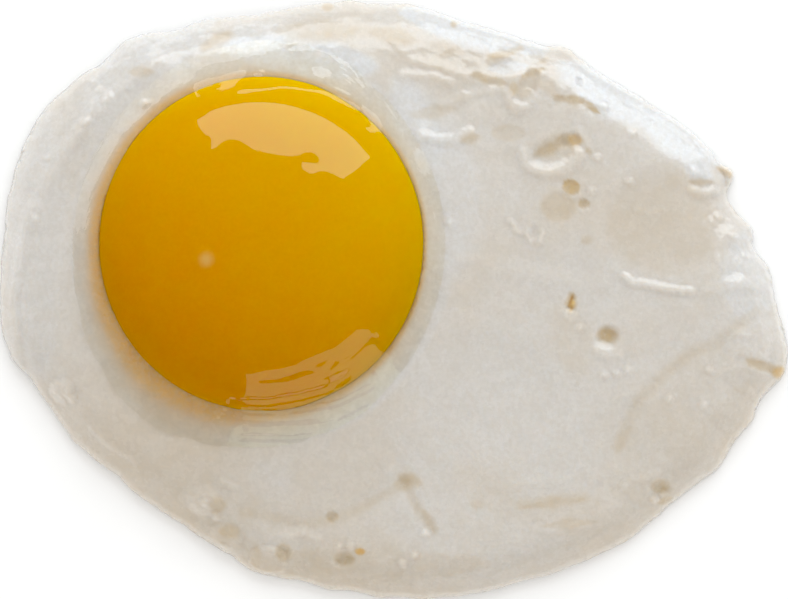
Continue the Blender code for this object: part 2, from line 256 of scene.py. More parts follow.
# Golden marks, in the same form as the stains
GOLD_STAINS = (
    ((22.3, -0.4), (0.2, 0.9), -8, 0.7, 0.35), ((22.8, 20.2), (0.6, 0.4), 0, 0.3, 0.6),
    ((22.3, 14.3), (0.9, 0.7), 0, 0.18, 0.3), ((-4.3, -31.8), (0.5, 0.3), 0, 0.5, 0.3),
    ((48.7, -9.2), (0.6, 0.4), 0, 0.3, 0.6), ((26.9, -4.4), (0.5, 0.4), 0, 0.15, 0.6),
)
# Painted light: paler, cooler patches for the sheen on the rims and the light caught by small slopes, in
# the same form as the stains
FROST_AND_LIGHT_PATCHES = (
    ((-30.0, 27.0), (9.0, 5.0), 25, 0.55, 4.0),
    ((14.3, 29.3), (2.2, 0.5), 5, 0.9, 0.9), ((22.2, 27.0), (1.4, 0.9), 0, 0.9, 1.2),
    ((27.0, 26.0), (6.0, 1.8), -31, 1.0, 2.5), ((36.0, 20.5), (5.0, 1.6), -35, 1.0, 2.5),
    ((10.0, 34.0), (9.0, 1.6), -15, 1.0, 1.8), ((-30.0, 32.5), (7.0, 1.5), 22, 0.7, 2.5),
    ((-45.0, 8.0), (3.0, 16.0), 0, 0.5, 5.0), ((45.0, 3.0), (2.5, 5.0), 0, 0.7, 3.0),
    ((38.5, 16.3), (1.6, 0.8), -30, 0.9, 1.2), ((-17.0, 34.0), (3.0, 0.8), 0, 0.6, 1.5),
    ((-12.0, 30.5), (9.0, 2.2), -8, 1.0, 2.0), ((3.0, 22.0), (2.0, 5.0), 25, 0.8, 3.0),
    ((6.0, 13.0), (3.0, 9.0), 0, 0.6, 5.0), ((16.0, -13.0), (8.0, 5.0), 0, 0.4, 8.0),
)


class EggWhite(bpy.types.PropertyGroup):
    edge_height: bpy.props.FloatProperty(
        name="Edge height", description="Height of the widest line of the edge",
        default=0.6 * MM, min=0.0, unit="LENGTH")
    lip_rise: bpy.props.FloatProperty(
        name="Lip rise", description="Height of the round lip at the edge",
        default=0.7 * MM, min=0.0, unit="LENGTH")
    lip_width: bpy.props.FloatProperty(
        name="Lip width", description="Width of the round lip at the edge",
        default=0.6 * MM, min=0.0, unit="LENGTH")
    slope_rise: bpy.props.FloatProperty(
        name="Slope rise", description="How far the white climbs inside its lip",
        default=2.5 * MM, min=0.0, unit="LENGTH")
    slope_width: bpy.props.FloatProperty(
        name="Slope width", description="How far in from the edge the steep part goes",
        default=6.0 * MM, min=0.0, unit="LENGTH")
    inner_rise: bpy.props.FloatProperty(
        name="Inner rise", description="How far the white climbs past its steep part",
        default=1.5 * MM, min=0.0, unit="LENGTH")
    inner_width: bpy.props.FloatProperty(
        name="Inner width", description="How far in from the edge the white is level",
        default=22.0 * MM, min=0.0, unit="LENGTH")
    mound_rise: bpy.props.FloatProperty(
        name="Mound rise", description="How far the white swells up at the yolk",
        default=1.9 * MM, min=0.0, unit="LENGTH")
    mound_width: bpy.props.FloatProperty(
        name="Mound width", description="How far from the yolk the swelling reaches",
        default=16.0 * MM, min=0.0, unit="LENGTH")
    trough_rise: bpy.props.FloatProperty(
        name="Trough rise", description="How the white sinks to the yolk's widest line",
        default=-0.1 * MM, max=0.0, unit="LENGTH")
    trough_width: bpy.props.FloatProperty(
        name="Trough width", description="How far from the yolk the white sinks",
        default=1.8 * MM, min=0.0, unit="LENGTH")
    cream: bpy.props.FloatVectorProperty(
        name="Cream", description="Colour of the thick set white",
        default=(0.65, 0.605, 0.545), subtype="COLOR", min=0.0, max=1.0)
    # Frost is the cooler white, and also the colour of painted sheen and light on the rims and small slopes
    frost: bpy.props.FloatVectorProperty(
        name="Frost", description="Colour of the thin, cooler white",
        default=(0.68, 0.685, 0.69), subtype="COLOR", min=0.0, max=1.0)
    # Colour of the painted light that the yolk throws on the white beside it, also used for the real golden
    # marks in pits
    glow: bpy.props.FloatVectorProperty(
        name="Glow", description="Colour that the yolk lends to the white beside it",
        default=(0.68, 0.40, 0.06), subtype="COLOR", min=0.0, max=1.0)
    # Tan is the colour of the warm stains, and also of the painted shade along the front edge and at the
    # front left
    tan: bpy.props.FloatVectorProperty(
        name="Tan", description="Colour of the warm stains",
        default=(0.56, 0.455, 0.31), subtype="COLOR", min=0.0, max=1.0)


class EggYolk(bpy.types.PropertyGroup):
    # Painted light: the yolk's colour on its lit back right side
    light: bpy.props.FloatVectorProperty(
        name="Light", description="Colour of the yolk at the back right",
        default=(0.60, 0.36, 0.0), subtype="COLOR", min=0.0, max=1.0)
    # Painted shade: the yolk's colour on its shaded front left side
    deep: bpy.props.FloatVectorProperty(
        name="Deep", description="Colour of the yolk at the front left",
        default=(0.64, 0.265, 0.0), subtype="COLOR", min=0.0, max=1.0)


class EggClear(bpy.types.PropertyGroup):
    film: bpy.props.FloatProperty(
        name="Film", description="Thickness of the clear white over the yolk",
        default=0.3 * MM, min=0.0, unit="LENGTH")
    tuck: bpy.props.FloatProperty(
        name="Tuck", description="How deep the collar's rim goes into the white",
        default=0.12 * MM, min=0.0, unit="LENGTH")
    tint: bpy.props.FloatVectorProperty(
        name="Tint", description="Colour that deep clear white takes on",
        default=(1.0, 0.86, 0.56), subtype="COLOR", min=0.0, max=1.0)


class EggStage(bpy.types.PropertyGroup):
    key_strength: bpy.props.FloatProperty(
        name="Key light", description="Brightness of the wide light behind the egg",
        default=2.0, min=0.0)
    fill_strength: bpy.props.FloatProperty(
        name="Fill light", description="Brightness of the front light in the clear white",
        default=1.0, min=0.0)
    horizon_strength: bpy.props.FloatProperty(
        name="Horizon light", description="Brightness of the low band that the wet white mirrors",
        default=0.5, min=0.0)
    room_strength: bpy.props.FloatProperty(
        name="Room light", description="Brightness of the light from all around",
        default=0.98, min=0.0)


# Modelling by hand

def deselect_all():
    bpy.ops.object.select_all(action="DESELECT")


def open_piece(name):
    """Name the new primitive and open it in edit mode with all of it selected."""
    piece = bpy.context.view_layer.objects.active
    piece.name = name
    piece.data.name = name
    bpy.ops.object.mode_set(mode="EDIT")
    bpy.ops.mesh.select_mode(type="VERT")
    bpy.ops.mesh.select_all(action="SELECT")
    return piece


def close_piece(piece):
    """Leave edit mode and put the piece's place into its mesh."""
    bpy.ops.object.mode_set(mode="OBJECT")
    deselect_all()
    piece.select_set(True)
    bpy.ops.object.transform_apply(location=True, rotation=True, scale=True)
    bpy.ops.object.shade_smooth()


class Hand:
    """Pulls points of the piece in edit mode, with a soft reach round the chosen ones."""

    def __init__(self, piece):
        self.piece = piece
        self.refresh()

    def refresh(self):
        """Read the points again after one was added or moved sideways."""
        self.mesh = bmesh.from_edit_mesh(self.piece.data)
        self.mesh.verts.ensure_lookup_table()
        self.verts = list(self.mesh.verts)
        self.points = np.array([vert.co for vert in self.verts])
        self.plan = self.points[:, :2]
        self.rim = np.array([vert.is_boundary for vert in self.verts])

    def choose(self, chosen):
        bpy.ops.mesh.select_all(action="DESELECT")
        for index in np.flatnonzero(chosen):
            self.verts[index].select = True

    def pull(self, chosen, move, reach, fall="SMOOTH"):
        if not chosen.any():
            raise RuntimeError("a pull of the white found no point to hold")
        self.choose(chosen)
        bpy.ops.transform.translate(
            value=move, use_proportional_edit=True, use_proportional_connected=False,
            proportional_edit_falloff=fall, proportional_size=reach)


def in_oval(plan, place, half_sizes, lean):
    """Which plan points lie within a leaning oval, all in metres but the lean."""
    turn = math.radians(lean)
    away = plan - np.array(place)
    along = away[:, 0] * math.cos(turn) + away[:, 1] * math.sin(turn)
    across = away[:, 1] * math.cos(turn) - away[:, 0] * math.sin(turn)
    return (along / half_sizes[0]) ** 2 + (across / half_sizes[1]) ** 2 <= 1


def from_path(plan, path):
    """Distance of plan points from a path of straight stretches."""
    nearest = np.full(len(plan), np.inf)
    for start, end in zip(path, path[1:]):
        start, span = np.array(start), np.array(end) - np.array(start)
        share = np.clip((plan - start) @ span / (span @ span), 0, 1)
        nearest = np.minimum(nearest, np.linalg.norm(plan - start - share[:, None] * span, axis=1))
    return nearest


def from_points(plan, others):
    """Distance of plan points from the nearest of other plan points."""
    tree = kdtree.KDTree(len(others))
    for index, (x, y) in enumerate(others):
        tree.insert((x, y, 0), index)
    tree.balance()
    return np.array([tree.find((x, y, 0))[2] for x, y in plan])


def scaled(path):
    return [(x * MM, y * MM) for x, y in path]


# The white

def shape_footprint(piece):
    """Turn the round sheet into the oval and push its lobes out and in."""
    lean = math.radians(OVAL["lean"])
    bpy.ops.transform.resize(
        value=(OVAL["half_length"] * MM, OVAL["half_width"] * MM, 1), center_override=(0, 0, 0))
    bpy.ops.transform.rotate(value=-lean, orient_axis="Z", center_override=(0, 0, 0))
    bpy.ops.transform.translate(value=(OVAL["x"] * MM, OVAL["y"] * MM, 0))
    hand = Hand(piece)
    rim = np.flatnonzero(hand.rim)
    for bearing, reach, push in EDGE_LOBES:
        outline = np.array([hand.verts[index].co.xy for index in rim])
        outward = np.array((math.cos(math.radians(bearing)), math.sin(math.radians(bearing))))
        facing = outline @ outward / np.linalg.norm(outline, axis=1)
        chosen = np.arange(len(hand.verts)) == rim[facing.argmax()]
        hand.pull(chosen, (*(outward * push * MM), 0), reach * MM)


def fit_to_box(piece):
    """Centre the sheet and stretch it the little that makes its sides the CAD piece's."""
    hand = Hand(piece)
    bpy.ops.mesh.select_all(action="SELECT")
    low, high = hand.plan.min(axis=0), hand.plan.max(axis=0)
    bpy.ops.transform.translate(value=(*(-(low + high) / 2), 0))
    size = WHITE_HIGH - WHITE_LOW
    bpy.ops.transform.resize(
        value=(size.x / (high - low)[0], size.y / (high - low)[1], 1), center_override=(0, 0, 0))
    bpy.ops.transform.translate(value=((WHITE_LOW + WHITE_HIGH) / 2).to_2d().to_3d())


def weigh(piece, name, weights):
    """A vertex group with one weight for each point."""
    group = piece.vertex_groups.new(name=name)
    for index, weight in enumerate(weights):
        group.add([index], float(weight), "REPLACE")


def round_yolk(plan):
    """Bearing of plan points from the yolk's middle (degrees) and how far they are past its girth."""
    away = (plan - np.array(YOLK_MIDDLE.xy)) / np.array(YOLK_RADII.xy)
    return np.degrees(np.arctan2(away[:, 1], away[:, 0])), (np.linalg.norm(away, axis=1) - 1) * YOLK_RADII.x


def yolk_distance(plan):
    """How far plan points are from the yolk's middle, as a share of its girth times its radius."""
    away = (plan - np.array(YOLK_MIDDLE.xy)) / np.array(YOLK_RADII.xy)
    return np.linalg.norm(away, axis=1) * YOLK_RADII.x


def raise_body(hand, sizes, from_edge):
    """The broad form: a round lip, a slope up from it, a mound, and the yolk's seat."""
    hand.pull(from_edge >= sizes.lip_width, (0, 0, sizes.lip_rise), sizes.lip_width, "SPHERE")
    hand.pull(from_edge >= sizes.slope_width, (0, 0, sizes.slope_rise), sizes.slope_width,
              "INVERSE_SQUARE")
    hand.pull(from_edge >= sizes.inner_width, (0, 0, sizes.inner_rise), sizes.inner_width,
              "INVERSE_SQUARE")
    from_middle = yolk_distance(hand.plan)
    girth = YOLK_RADII.x
    hand.pull(from_middle <= girth, (0, 0, sizes.mound_rise), sizes.mound_width)
    hand.pull(from_middle <= girth, (0, 0, sizes.trough_rise), sizes.trough_width)


def press_marks(hand):
    for place, half_sizes, lean, rise, reach, *fall in HOLLOWS:
        chosen = in_oval(hand.plan, np.array(place) * MM, np.array(half_sizes) * MM, lean)
        hand.pull(chosen, (0, 0, rise * MM), reach * MM, *fall)
    for path, half_width, rise, reach, *fall in FOLDS:
        chosen = from_path(hand.plan, scaled(path)) <= half_width * MM
        hand.pull(chosen, (0, 0, rise * MM), reach * MM, *fall)
    away = from_points(hand.plan, np.array(BEADS) * MM)
    hand.pull(away <= 0.22 * MM, (0, 0, 0.22 * MM), 0.7 * MM)


def press_seat(hand, sizes):
    """The hollow that the yolk lies in, close round its lower half."""
    from_middle = yolk_distance(hand.plan)
    top = (sizes.edge_height + sizes.lip_rise + sizes.slope_rise + sizes.inner_rise
           + sizes.mound_rise + sizes.trough_rise)
    for place, reach, rise in BASIN:
        away = np.linalg.norm(hand.plan - np.array(place) * MM, axis=1)
        hand.pull(away <= 0.5 * MM, (0, 0, rise * MM), reach * MM)
    reach = YOLK_RADII.x - SEAT_OVERLAP - SEAT_FLAT
    hand.pull(from_middle <= SEAT_FLAT, (0, 0, SEAT_FLOOR - top), reach, "SPHERE")


def choose_rim(piece):
    """Select the open edges of the piece in edit mode."""
    bpy.ops.mesh.select_all(action="DESELECT")
    bpy.ops.mesh.select_mode(type="EDGE")
    mesh = bmesh.from_edit_mesh(piece.data)
    for edge in mesh.edges:
        if edge.is_boundary:
            edge.select_set(True)


def close_underside(piece, sizes):
    """Close the edge below with one face, and set it in and down twice, to the plate."""
    choose_rim(piece)
    bpy.ops.mesh.edge_face_add()
    bpy.ops.mesh.select_mode(type="FACE")
    bpy.ops.mesh.inset(thickness=0.15 * MM, depth=0.7 * sizes.edge_height)
    bpy.ops.mesh.inset(thickness=0.35 * MM, depth=0.3 * sizes.edge_height)


def roughen(piece, name, group, direction, size, strength, depth=2):
    """Small lumps along one direction, from a cloud texture."""
    texture = bpy.data.textures.new(name, "CLOUDS")
    texture.noise_scale = size
    texture.noise_depth = depth
    bpy.ops.object.modifier_add(type="DISPLACE")
    modifier = piece.modifiers[-1]
    modifier.texture = texture
    modifier.texture_coords = "LOCAL"
    modifier.direction = direction
    modifier.mid_level = 0.5
    modifier.strength = strength
    modifier.vertex_group = group
    bpy.ops.object.modifier_apply(modifier=modifier.name)


def lively_share(plan):
    """Where the white is crinkled: most at the back right, some at the right and front edges."""
    share = np.full(len(plan), 0.15)
    for place, half_sizes, lean, strength, softness in LIVELY_PATCHES:
        share = np.maximum(share, oval_stain(plan, place, half_sizes, lean, strength, softness))
    return share


def soft_step(distance, inner, outer):
    """1 nearer than inner, 0 past outer."""
    share = np.clip((outer - distance) / (outer - inner), 0, 1)
    return 3 * share ** 2 - 2 * share ** 3


def oval_stain(plan, place, half_sizes, lean, strength, softness):
    """A stain that is full inside a leaning oval and fades round it; sizes in mm."""
    turn = math.radians(lean)
    away = plan / MM - np.array(place)
    along = away[:, 0] * math.cos(turn) + away[:, 1] * math.sin(turn)
    across = away[:, 1] * math.cos(turn) - away[:, 0] * math.sin(turn)
    size = np.hypot(along / half_sizes[0], across / half_sizes[1])
    outside = np.maximum(size - 1, 0) / np.maximum(size, 1e-6) * np.hypot(along, across)
    return strength * soft_step(outside, 0, softness)


def paint_raw(piece, name, values):
    layer = piece.data.attributes.new(name, "FLOAT", "POINT")
    layer.data.foreach_set("value", values.astype(np.float32))


def paint(piece, name, values):
    paint_raw(piece, name, np.clip(values, 0, 1))


# Materials

def node(tree, kind, **values):
    """A node with its properties, and its inputs by name."""
    made = tree.nodes.new(kind)
    for name, value in values.pop("inputs", {}).items():
        made.inputs[name].default_value = value
    for name, value in values.items():
        setattr(made, name, value)
    return made


def new_material(name):
    material = bpy.data.materials.new(name)
    material.use_nodes = True
    tree = material.node_tree
    return material, tree, tree.nodes["Principled BSDF"]


def noise(tree, place, scale, detail=3.0, roughness=0.5, distortion=0.0):
    made = node(tree, "ShaderNodeTexNoise", inputs={
        "Scale": scale, "Detail": detail, "Roughness": roughness, "Distortion": distortion})
    tree.links.new(place, made.inputs["Vector"])
    return made.outputs["Fac"]


def ranged(tree, value, low, high, to_low=0.0, to_high=1.0):
    made = node(tree, "ShaderNodeMapRange", inputs={
        "From Min": low, "From Max": high, "To Min": to_low, "To Max": to_high},
        interpolation_type="SMOOTHSTEP")
    tree.links.new(value, made.inputs["Value"])
    return made.outputs["Result"]


def maths(tree, kind, first, second):
    made = node(tree, "ShaderNodeMath", operation=kind)
    for socket, value in zip(made.inputs, (first, second)):
        if isinstance(value, (int, float)):
            socket.default_value = value
        else:
            tree.links.new(value, socket)
    return made.outputs[0]


def mixed(tree, amount, first, second):
    """A colour between two colours."""
    made = node(tree, "ShaderNodeMix", data_type="RGBA")
    for socket, value in zip((made.inputs[0], made.inputs[6], made.inputs[7]),
                             (amount, first, second)):
        if isinstance(value, (int, float)):
            socket.default_value = value
        elif isinstance(value, bpy.types.NodeSocket):
            tree.links.new(value, socket)
        else:
            socket.default_value = (*value, 1)
    return made.outputs[2]


def painted(tree, name):
    return node(tree, "ShaderNodeAttribute", attribute_name=name).outputs["Fac"]


def bumped(tree, shader, height, distance, strength=1.0):
    made = node(tree, "ShaderNodeBump", inputs={"Strength": strength, "Distance": distance})
    tree.links.new(height, made.inputs["Height"])
    tree.links.new(made.outputs["Normal"], shader.inputs["Normal"])
    return made


def white_material(looks):
    material, tree, shader = new_material("egg_white")
    place = node(tree, "ShaderNodeTexCoord").outputs["Object"]
    broad = ranged(tree, noise(tree, place, 70, 3), 0.40, 0.62)
    fine = ranged(tree, noise(tree, place, 420, 5, 0.6), 0.42, 0.66)
    grain = ranged(tree, noise(tree, place, 1900, 2), 0.35, 0.65)
    # Painted light: the frost mask lightens and cools the sheen on rims and slopes; the broad noise adds
    # random cooler mottling
    frost_and_light_share = maths(tree, "MAXIMUM", painted(tree, "frost"), maths(tree, "MULTIPLY", broad, 0.35))
    colour = mixed(tree, frost_and_light_share, tuple(looks.cream), tuple(looks.frost))
    # Tan stains, with painted shade along the front edge and at the front left
    stain = maths(tree, "MULTIPLY", painted(tree, "tan"), ranged(tree, fine, 0.0, 1.0, 0.8, 1.0))
    stain = maths(tree, "ADD", stain, maths(tree, "MULTIPLY", fine, 0.05))
    colour = mixed(tree, stain, colour, tuple(looks.tan))
    # Painted light from the yolk on the white beside it, and the real golden marks
    colour = mixed(tree, painted(tree, "glow"), colour, tuple(looks.glow))
    colour = mixed(tree, maths(tree, "MULTIPLY", grain, 0.2), colour, (0.52, 0.48, 0.42))
    tree.links.new(colour, shader.inputs["Base Color"])
    shader.inputs["Subsurface Weight"].default_value = 1.0
    shader.inputs["Subsurface Radius"].default_value = (1.0, 0.85, 0.7)
    shader.inputs["Subsurface Scale"].default_value = 1.8 * MM
    shader.inputs["IOR"].default_value = 1.38
    tree.links.new(ranged(tree, fine, 0.0, 1.0, 0.28, 0.20), shader.inputs["Roughness"])
    shader.inputs["Coat Weight"].default_value = 1.0
    shader.inputs["Coat IOR"].default_value = 1.6
    shader.inputs["Coat Roughness"].default_value = 0.08
    height = maths(tree, "ADD", noise(tree, place, 500, 3), maths(
        tree, "MULTIPLY", noise(tree, place, 2200, 3), 0.2))
    bump = bumped(tree, shader, height, 0.07 * MM)
    tree.links.new(bump.outputs["Normal"], shader.inputs["Coat Normal"])
    return material


def yolk_material(looks):
    """Painted light and shade: lighter towards the lit back right and more orange towards the shaded front
    left.
    """
    material, tree, shader = new_material("yolk")
    place = node(tree, "ShaderNodeTexCoord").outputs["Object"]
    cloud = ranged(tree, noise(tree, place, 160, 3), 0.35, 0.7, 0.0, 0.12)
    grain = ranged(tree, noise(tree, place, 2400, 2), 0.3, 0.7, 0.0, 0.12)
    shade = maths(tree, "ADD", painted(tree, "shade"), cloud)
    colour = mixed(tree, shade, tuple(looks.light), tuple(looks.deep))
    colour = mixed(tree, grain, colour, (0.75, 0.42, 0.0))
    colour = mixed(tree, painted(tree, "germ"), colour, (0.66, 0.42, 0.12))
    tree.links.new(colour, shader.inputs["Base Color"])
    shader.inputs["Subsurface Weight"].default_value = 0.7
    shader.inputs["Subsurface Radius"].default_value = (1.0, 0.5, 0.1)
    shader.inputs["Subsurface Scale"].default_value = 3.0 * MM
    shader.inputs["Roughness"].default_value = 0.25
    shader.inputs["IOR"].default_value = 1.1
    shader.inputs["Specular IOR Level"].default_value = 0.0
    bumped(tree, shader, noise(tree, place, 900, 3), 0.01 * MM)
    return material


def clear_material(looks):
    """Clear and wet, tinted where it is deep; light reaches through it to what lies below."""
    material, tree, shader = new_material("clear_white")
    place = node(tree, "ShaderNodeTexCoord").outputs["Object"]
    shader.inputs["Base Color"].default_value = (1, 0.99, 0.95, 1)
    shader.inputs["Transmission Weight"].default_value = 1.0
    shader.inputs["Roughness"].default_value = 0.02
    shader.inputs["IOR"].default_value = 1.2
    shader.inputs["Coat Weight"].default_value = 1.0
    shader.inputs["Coat Roughness"].default_value = 0.02
    bumped(tree, shader, noise(tree, place, 260, 2), 0.02 * MM)
    depth = node(tree, "ShaderNodeVolumeAbsorption", inputs={
        "Color": (*looks.tint, 1), "Density": 25.0})
    through = node(tree, "ShaderNodeBsdfTransparent", inputs={"Color": (0.99, 0.98, 0.96, 1)})
    ray = node(tree, "ShaderNodeLightPath")
    blend = node(tree, "ShaderNodeMixShader")
    tree.links.new(ray.outputs["Is Shadow Ray"], blend.inputs[0])
    tree.links.new(shader.outputs[0], blend.inputs[1])
    tree.links.new(through.outputs[0], blend.inputs[2])
    output = tree.nodes["Material Output"]
    tree.links.new(blend.outputs[0], output.inputs["Surface"])
    tree.links.new(depth.outputs[0], output.inputs["Volume"])
    return material


def floor_material():
    material, tree, shader = new_material("pale_floor")
    place = node(tree, "ShaderNodeTexCoord").outputs["Object"]
    speckle = ranged(tree, noise(tree, place, 40, 4), 0.3, 0.7)
    colour = mixed(tree, speckle, (0.90, 0.90, 0.90), (0.92, 0.92, 0.92))
    tree.links.new(colour, shader.inputs["Base Color"])
    shader.inputs["Roughness"].default_value = 0.9
    shader.inputs["Specular IOR Level"].default_value = 0.1
    return material


class EGG_OT_white(bpy.types.Operator):
    """Model the set white: frilly footprint, sloping edge, yolk's seat, pits and folds"""
    bl_idname = "egg.white"
    bl_label = "Set White"

    def execute(self, context):
        sizes = context.scene.egg_white
        piece = self.lay_sheet(sizes)
        from_edge = self.raise_relief(piece, sizes)
        press_seat(Hand(piece), sizes)
        close_underside(piece, sizes)
        close_piece(piece)
        self.paint_marks(piece, from_edge)
        piece.data.materials.append(white_material(sizes))
        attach(piece, "root")
        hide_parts("white")
        return {"FINISHED"}

    def lay_sheet(self, sizes):
        """A flat sheet in edit mode, with the frilly footprint and the CAD piece's sides."""
        deselect_all()
        bpy.ops.mesh.primitive_circle_add(
            vertices=EDGE_POINTS, radius=1.0, location=(0, 0, sizes.edge_height))
        piece = open_piece("egg_white")
        bpy.ops.mesh.fill_grid(span=EDGE_SPAN, offset=0)
        bpy.ops.mesh.select_all(action="SELECT")
        shape_footprint(piece)
        hand = Hand(piece)
        from_edge = from_points(hand.plan, hand.plan[hand.rim])
        bpy.ops.object.mode_set(mode="OBJECT")
        weigh(piece, "edge", np.clip(1 - from_edge / (2 * MM), 0, 1))
        roughen(piece, "frill_x", "edge", "X", 2.2 * MM, 0.5 * MM)
        roughen(piece, "frill_y", "edge", "Y", 2.6 * MM, 0.5 * MM)
        bpy.ops.object.mode_set(mode="EDIT")
        fit_to_box(piece)
        return piece

    def raise_relief(self, piece, sizes):
        """Raise the sheet and press its marks in; gives each point's distance from the edge."""
        hand = Hand(piece)
        from_edge = from_points(hand.plan, hand.plan[hand.rim])
        hand.choose(hand.rim)
        bpy.ops.mesh.hide(unselected=False)
        raise_body(hand, sizes, from_edge)
        press_marks(hand)
        bpy.ops.mesh.reveal(select=False)
        bpy.ops.object.mode_set(mode="OBJECT")
        weigh(piece, "top", np.clip(from_edge / (1.5 * MM), 0, 1))
        weigh(piece, "lively", lively_share(hand.plan) * np.clip(from_edge / (1.5 * MM), 0, 1))
        roughen(piece, "swell", "top", "Z", 9 * MM, 0.5 * MM)
        roughen(piece, "ripple", "lively", "Z", 2.6 * MM, 0.3 * MM)
        roughen(piece, "wrinkle", "lively", "Z", 1.2 * MM, 0.12 * MM)
        brim = np.array([vert.co.z for vert in piece.data.vertices]) + sizes.edge_height
        paint_raw(piece, "brim", brim)
        bpy.ops.object.mode_set(mode="EDIT")
        return from_edge

    def paint_marks(self, piece, from_edge):
        points = np.array([vert.co for vert in piece.data.vertices])
        plan = points[:, :2]
        below = np.zeros(len(plan) - len(from_edge))
        # Painted shade along the front edge comes first, then the tan stains and lines
        tan = self.front_edge_shade(plan, np.concatenate((from_edge, below)))
        for stain in TAN_STAINS:
            tan = 1 - (1 - tan) * (1 - oval_stain(plan, *stain))
        for path, half_width, strength, softness in TAN_LINES:
            away = from_path(plan, scaled(path))
            line = strength * soft_step(away, half_width * MM, (half_width + softness) * MM)
            tan = 1 - (1 - tan) * (1 - line)
        # Painted light from the yolk round its foot, with the real golden marks of the pits and the hook
        # added below
        yolk_light_and_gold_mask = np.maximum(self.painted_yolk_light(plan), self.yolk_light_band(plan))
        for stain in GOLD_STAINS:
            yolk_light_and_gold_mask = np.maximum(yolk_light_and_gold_mask, oval_stain(plan, *stain))
        paint(piece, "glow", yolk_light_and_gold_mask)
        frost = np.zeros(len(plan))
        for patch in FROST_AND_LIGHT_PATCHES:
            frost = np.maximum(frost, oval_stain(plan, *patch))
        # Painted light: a paler band within 4 to 5 mm of the yolk lifts the shade under the clear white
        bearing, away = round_yolk(plan)
        frost = np.maximum(frost, 0.5 * soft_step(away, 4 * MM, 5 * MM))
        paint(piece, "tan", tan)
        paint(piece, "frost", frost)

    def yolk_light_band(self, plan):
        """Painted yolk-coloured light in a band round the yolk, as wide as the clear white there."""
        bearing, away = round_yolk(plan)
        turns, widths, _ = np.array(COLLAR).T
        width = smooth_loop(bearing, turns, widths) * MM
        turns, _, _, strengths = np.array(YOLK_LIGHT).T
        return smooth_loop(bearing, turns, strengths) * soft_step(away, 0.4 * width, 1.15 * width)

    def painted_yolk_light(self, plan):
        """Painted light: the yolk's colour thrown on the white beside it."""
        bearing, away = round_yolk(plan)
        turns, strengths, fades, _ = np.array(YOLK_LIGHT).T
        strength = smooth_loop(bearing, turns, strengths)
        fade = smooth_loop(bearing, turns, fades) * MM
        band = soft_step(away, 0.4 * fade, 1.3 * fade)
        return strength * (0.6 * band + 0.4 * np.exp(-np.maximum(away, 0) / fade))

    def front_edge_shade(self, plan, from_edge):
        """Painted shade: the front edge, which faces away from the key light, is darker and browner than
        the rest.
        """
        front = soft_step(plan[:, 1], -30 * MM, 0)
        return 0.28 * front * soft_step(from_edge, 0.5 * MM, 5 * MM)


class EGG_OT_yolk(bpy.types.Operator):
    """Model the yolk: a flattened dome over a bowl that rests on the white"""
    bl_idname = "egg.yolk"
    bl_label = "Yolk"

    def execute(self, context):
        looks = context.scene.egg_yolk
        deselect_all()
        middle = (*YOLK_MIDDLE.xy, GIRTH)
        bpy.ops.mesh.primitive_uv_sphere_add(
            segments=YOLK_SEGMENTS, ring_count=YOLK_RINGS, radius=1.0, location=middle)
        piece = open_piece("egg_yolk")
        bpy.ops.transform.resize(
            value=(YOLK_RADII.x, YOLK_RADII.y, YOLK_HIGH.z - GIRTH), center_override=middle)
        hand = Hand(piece)
        below = hand.points[:, 2] < 0
        hand.choose(below)
        drop = (GIRTH - YOLK_LOW.z) / (YOLK_HIGH.z - GIRTH)
        bpy.ops.transform.resize(value=(1, 1, drop * BOWL_DEEPENING), center_override=middle)
        hand.refresh()
        low = hand.points[:, 2] < YOLK_LOW.z - GIRTH
        hand.choose(low)
        bpy.ops.transform.resize(value=(1, 1, 0), center_override=(*YOLK_MIDDLE.xy, YOLK_LOW.z))
        close_piece(piece)
        self.paint_marks(piece)
        piece.data.materials.append(yolk_material(looks))
        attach(piece, "root")
        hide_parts("yolk")
        return {"FINISHED"}

    def paint_marks(self, piece):
        """The painted light and shade across the yolk, and the small pale germ spot."""
        plan = np.array([vert.co for vert in piece.data.vertices])[:, :2]
        lean = (plan - np.array(YOLK_MIDDLE.xy)) @ np.array(SHADE_TOWARDS) / YOLK_RADII.x
        paint(piece, "shade", 0.5 - 0.55 * lean)
        germ = np.linalg.norm(plan - np.array(GERM_PLACE) * MM, axis=1)
        paint(piece, "germ", soft_step(germ, 0.2 * MM, 1.3 * MM) * 0.8)


# How the clear white runs out from the yolk's girth: bearing (degrees), width (mm) and the slope
# at which it meets the set white
COLLAR = (
    (0, 2.9, 0.8), (30, 3.0, 0.8), (52, 3.5, 0.8), (68, 4.7, 0.35), (88, 4.9, 0.3),
    (100, 4.3, 0.75), (140, 3.6, 0.8), (165, 3.5, 0.8), (182, 3.6, 0.7), (197, 4.1, 0.4),
    (213, 4.8, 0.2), (229, 5.6, 0.15), (240, 5.7, 0.2), (250, 5.2, 0.35), (262, 4.8, 0.4),
    (280, 4.6, 0.4), (300, 4.0, 0.45), (318, 3.3, 0.75), (340, 2.9, 0.8),
)

# Painted light that the yolk throws on the white beside it, strongest on the shaded front left:
# bearing (degrees), strength, width (mm), and the strength of a paler band as wide as the clear white
YOLK_LIGHT = (
    (0, 0.8, 0.6, 0.04), (60, 0.6, 0.7, 0.0), (90, 0.6, 0.8, 0.0), (135, 0.85, 1.3, 0.06),
    (180, 0.95, 1.8, 0.12), (205, 1.0, 2.6, 0.3), (230, 1.0, 3.6, 0.40), (250, 1.0, 3.0, 0.35),
    (275, 0.85, 1.7, 0.2), (310, 0.8, 0.9, 0.08),
)

